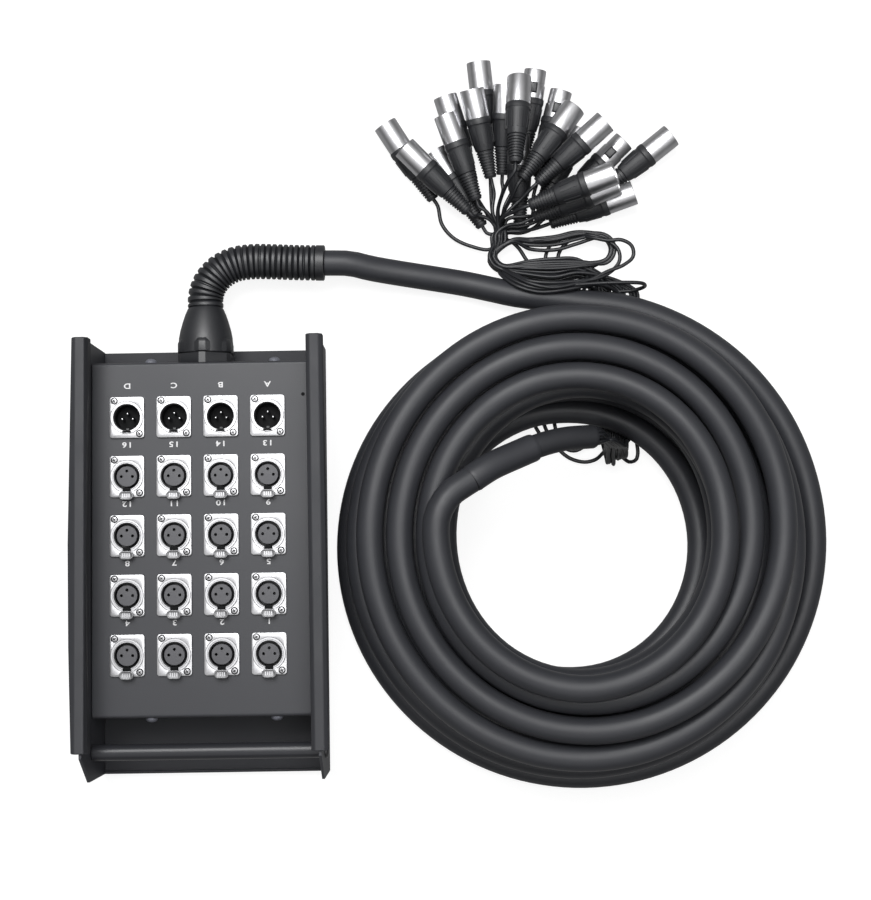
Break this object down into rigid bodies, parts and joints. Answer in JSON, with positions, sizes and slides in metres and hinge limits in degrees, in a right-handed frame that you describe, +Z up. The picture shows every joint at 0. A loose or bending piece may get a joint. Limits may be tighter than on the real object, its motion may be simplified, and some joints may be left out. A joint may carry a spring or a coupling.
{
  "type": "stage box snake",
  "caption": "Dark steel stage box with rows of round audio connectors and a long multicore cable lying in a coil, ending in thin tails with cable plugs.",
  "frame": {"origin": "middle of the box's underside, on the floor", "axes": "+Y along the box towards the cable gland, +Z up, +X to the right seen from above with the gland at the top"},
  "size_m": [0.5686, 0.5693, 0.1208],
  "materials": {
    "coat": "dark grey powder coat",
    "panel": "dark grey powder coat with white numbers",
    "foam": "matt black edge strip",
    "nickel": "satin nickel plated die casting",
    "bar": "black coated steel bar",
    "plastic": "black moulded plastic",
    "rubber": "dark grey cable jacket",
    "tail": "thin black cable jacket with metal shelled plugs"
  },
  "bodies": {
    "snake": {"base_pan": "coat", "left_side_frame": "coat", "right_side_frame": "coat", "left_edge_trim": "foam", "right_edge_trim": "foam", "carry_bar": "bar", "front_panel": "panel", "male_connector_d": "nickel", "male_connector_c": "nickel", "male_connector_b": "nickel", "male_connector_a": "nickel", "female_connector_16": "nickel", "female_connector_15": "nickel", "female_connector_14": "nickel", "female_connector_13": "nickel", "female_connector_12": "nickel", "female_connector_11": "nickel", "female_connector_10": "nickel", "female_connector_09": "nickel", "female_connector_08": "nickel", "female_connector_07": "nickel", "female_connector_06": "nickel", "female_connector_05": "nickel", "female_connector_04": "nickel", "female_connector_03": "nickel", "female_connector_02": "nickel", "female_connector_01": "nickel", "gland_body": "plastic", "gland_nut": "plastic", "flex_sleeve": "plastic", "main_cable_lead": "rubber", "main_cable_coil": "rubber", "breakout_boot": "plastic", "tail_ribbon": "tail", "tail_hank": "tail", "tail_fan": "tail", "female_plug_01": "nickel", "female_plug_02": "nickel", "female_plug_03": "nickel", "female_plug_04": "nickel"},
    "latch_tab_16_body": {"latch_tab_16": "nickel"},
    "latch_tab_15_body": {"latch_tab_15": "nickel"},
    "latch_tab_14_body": {"latch_tab_14": "nickel"},
    "latch_tab_13_body": {"latch_tab_13": "nickel"},
    "latch_tab_12_body": {"latch_tab_12": "nickel"},
    "latch_tab_11_body": {"latch_tab_11": "nickel"},
    "latch_tab_10_body": {"latch_tab_10": "nickel"},
    "latch_tab_09_body": {"latch_tab_09": "nickel"},
    "latch_tab_08_body": {"latch_tab_08": "nickel"},
    "latch_tab_07_body": {"latch_tab_07": "nickel"},
    "latch_tab_06_body": {"latch_tab_06": "nickel"},
    "latch_tab_05_body": {"latch_tab_05": "nickel"},
    "latch_tab_04_body": {"latch_tab_04": "nickel"},
    "latch_tab_03_body": {"latch_tab_03": "nickel"},
    "latch_tab_02_body": {"latch_tab_02": "nickel"},
    "latch_tab_01_body": {"latch_tab_01": "nickel"},
    "plug_button_01_body": {"plug_button_01": "plastic"},
    "plug_button_02_body": {"plug_button_02": "plastic"},
    "plug_button_03_body": {"plug_button_03": "plastic"},
    "plug_button_04_body": {"plug_button_04": "plastic"}
  },
  "joints": [
    {"name": "latch_tab_16_slide", "type": "slide", "parent": "snake", "child": "latch_tab_16_body", "axis": [0, 0, -1], "range_m": [0, 0.0018], "stiffness_N_per_m": 600},
    {"name": "latch_tab_15_slide", "type": "slide", "parent": "snake", "child": "latch_tab_15_body", "axis": [0, 0, -1], "range_m": [0, 0.0018], "stiffness_N_per_m": 600},
    {"name": "latch_tab_14_slide", "type": "slide", "parent": "snake", "child": "latch_tab_14_body", "axis": [0, 0, -1], "range_m": [0, 0.0018], "stiffness_N_per_m": 600},
    {"name": "latch_tab_13_slide", "type": "slide", "parent": "snake", "child": "latch_tab_13_body", "axis": [0, 0, -1], "range_m": [0, 0.0018], "stiffness_N_per_m": 600},
    {"name": "latch_tab_12_slide", "type": "slide", "parent": "snake", "child": "latch_tab_12_body", "axis": [0, 0, -1], "range_m": [0, 0.0018], "stiffness_N_per_m": 600},
    {"name": "latch_tab_11_slide", "type": "slide", "parent": "snake", "child": "latch_tab_11_body", "axis": [0, 0, -1], "range_m": [0, 0.0018], "stiffness_N_per_m": 600},
    {"name": "latch_tab_10_slide", "type": "slide", "parent": "snake", "child": "latch_tab_10_body", "axis": [0, 0, -1], "range_m": [0, 0.0018], "stiffness_N_per_m": 600},
    {"name": "latch_tab_09_slide", "type": "slide", "parent": "snake", "child": "latch_tab_09_body", "axis": [0, 0, -1], "range_m": [0, 0.0018], "stiffness_N_per_m": 600},
    {"name": "latch_tab_08_slide", "type": "slide", "parent": "snake", "child": "latch_tab_08_body", "axis": [0, 0, -1], "range_m": [0, 0.0018], "stiffness_N_per_m": 600},
    {"name": "latch_tab_07_slide", "type": "slide", "parent": "snake", "child": "latch_tab_07_body", "axis": [0, 0, -1], "range_m": [0, 0.0018], "stiffness_N_per_m": 600},
    {"name": "latch_tab_06_slide", "type": "slide", "parent": "snake", "child": "latch_tab_06_body", "axis": [0, 0, -1], "range_m": [0, 0.0018], "stiffness_N_per_m": 600},
    {"name": "latch_tab_05_slide", "type": "slide", "parent": "snake", "child": "latch_tab_05_body", "axis": [0, 0, -1], "range_m": [0, 0.0018], "stiffness_N_per_m": 600},
    {"name": "latch_tab_04_slide", "type": "slide", "parent": "snake", "child": "latch_tab_04_body", "axis": [0, 0, -1], "range_m": [0, 0.0018], "stiffness_N_per_m": 600},
    {"name": "latch_tab_03_slide", "type": "slide", "parent": "snake", "child": "latch_tab_03_body", "axis": [0, 0, -1], "range_m": [0, 0.0018], "stiffness_N_per_m": 600},
    {"name": "latch_tab_02_slide", "type": "slide", "parent": "snake", "child": "latch_tab_02_body", "axis": [0, 0, -1], "range_m": [0, 0.0018], "stiffness_N_per_m": 600},
    {"name": "latch_tab_01_slide", "type": "slide", "parent": "snake", "child": "latch_tab_01_body", "axis": [0, 0, -1], "range_m": [0, 0.0018], "stiffness_N_per_m": 600},
    {"name": "plug_button_01_slide", "type": "slide", "parent": "snake", "child": "plug_button_01_body", "axis": [0.0212, 0.137, -0.9903], "range_m": [0, 0.0015], "stiffness_N_per_m": 600},
    {"name": "plug_button_02_slide", "type": "slide", "parent": "snake", "child": "plug_button_02_body", "axis": [0.0392, 0.1374, -0.9897], "range_m": [0, 0.0015], "stiffness_N_per_m": 600},
    {"name": "plug_button_03_slide", "type": "slide", "parent": "snake", "child": "plug_button_03_body", "axis": [0.1118, 0.1047, -0.9882], "range_m": [0, 0.0015], "stiffness_N_per_m": 600},
    {"name": "plug_button_04_slide", "type": "slide", "parent": "snake", "child": "plug_button_04_body", "axis": [-0.002, 0.3239, -0.9461], "range_m": [0, 0.0015], "stiffness_N_per_m": 600}
  ]
}
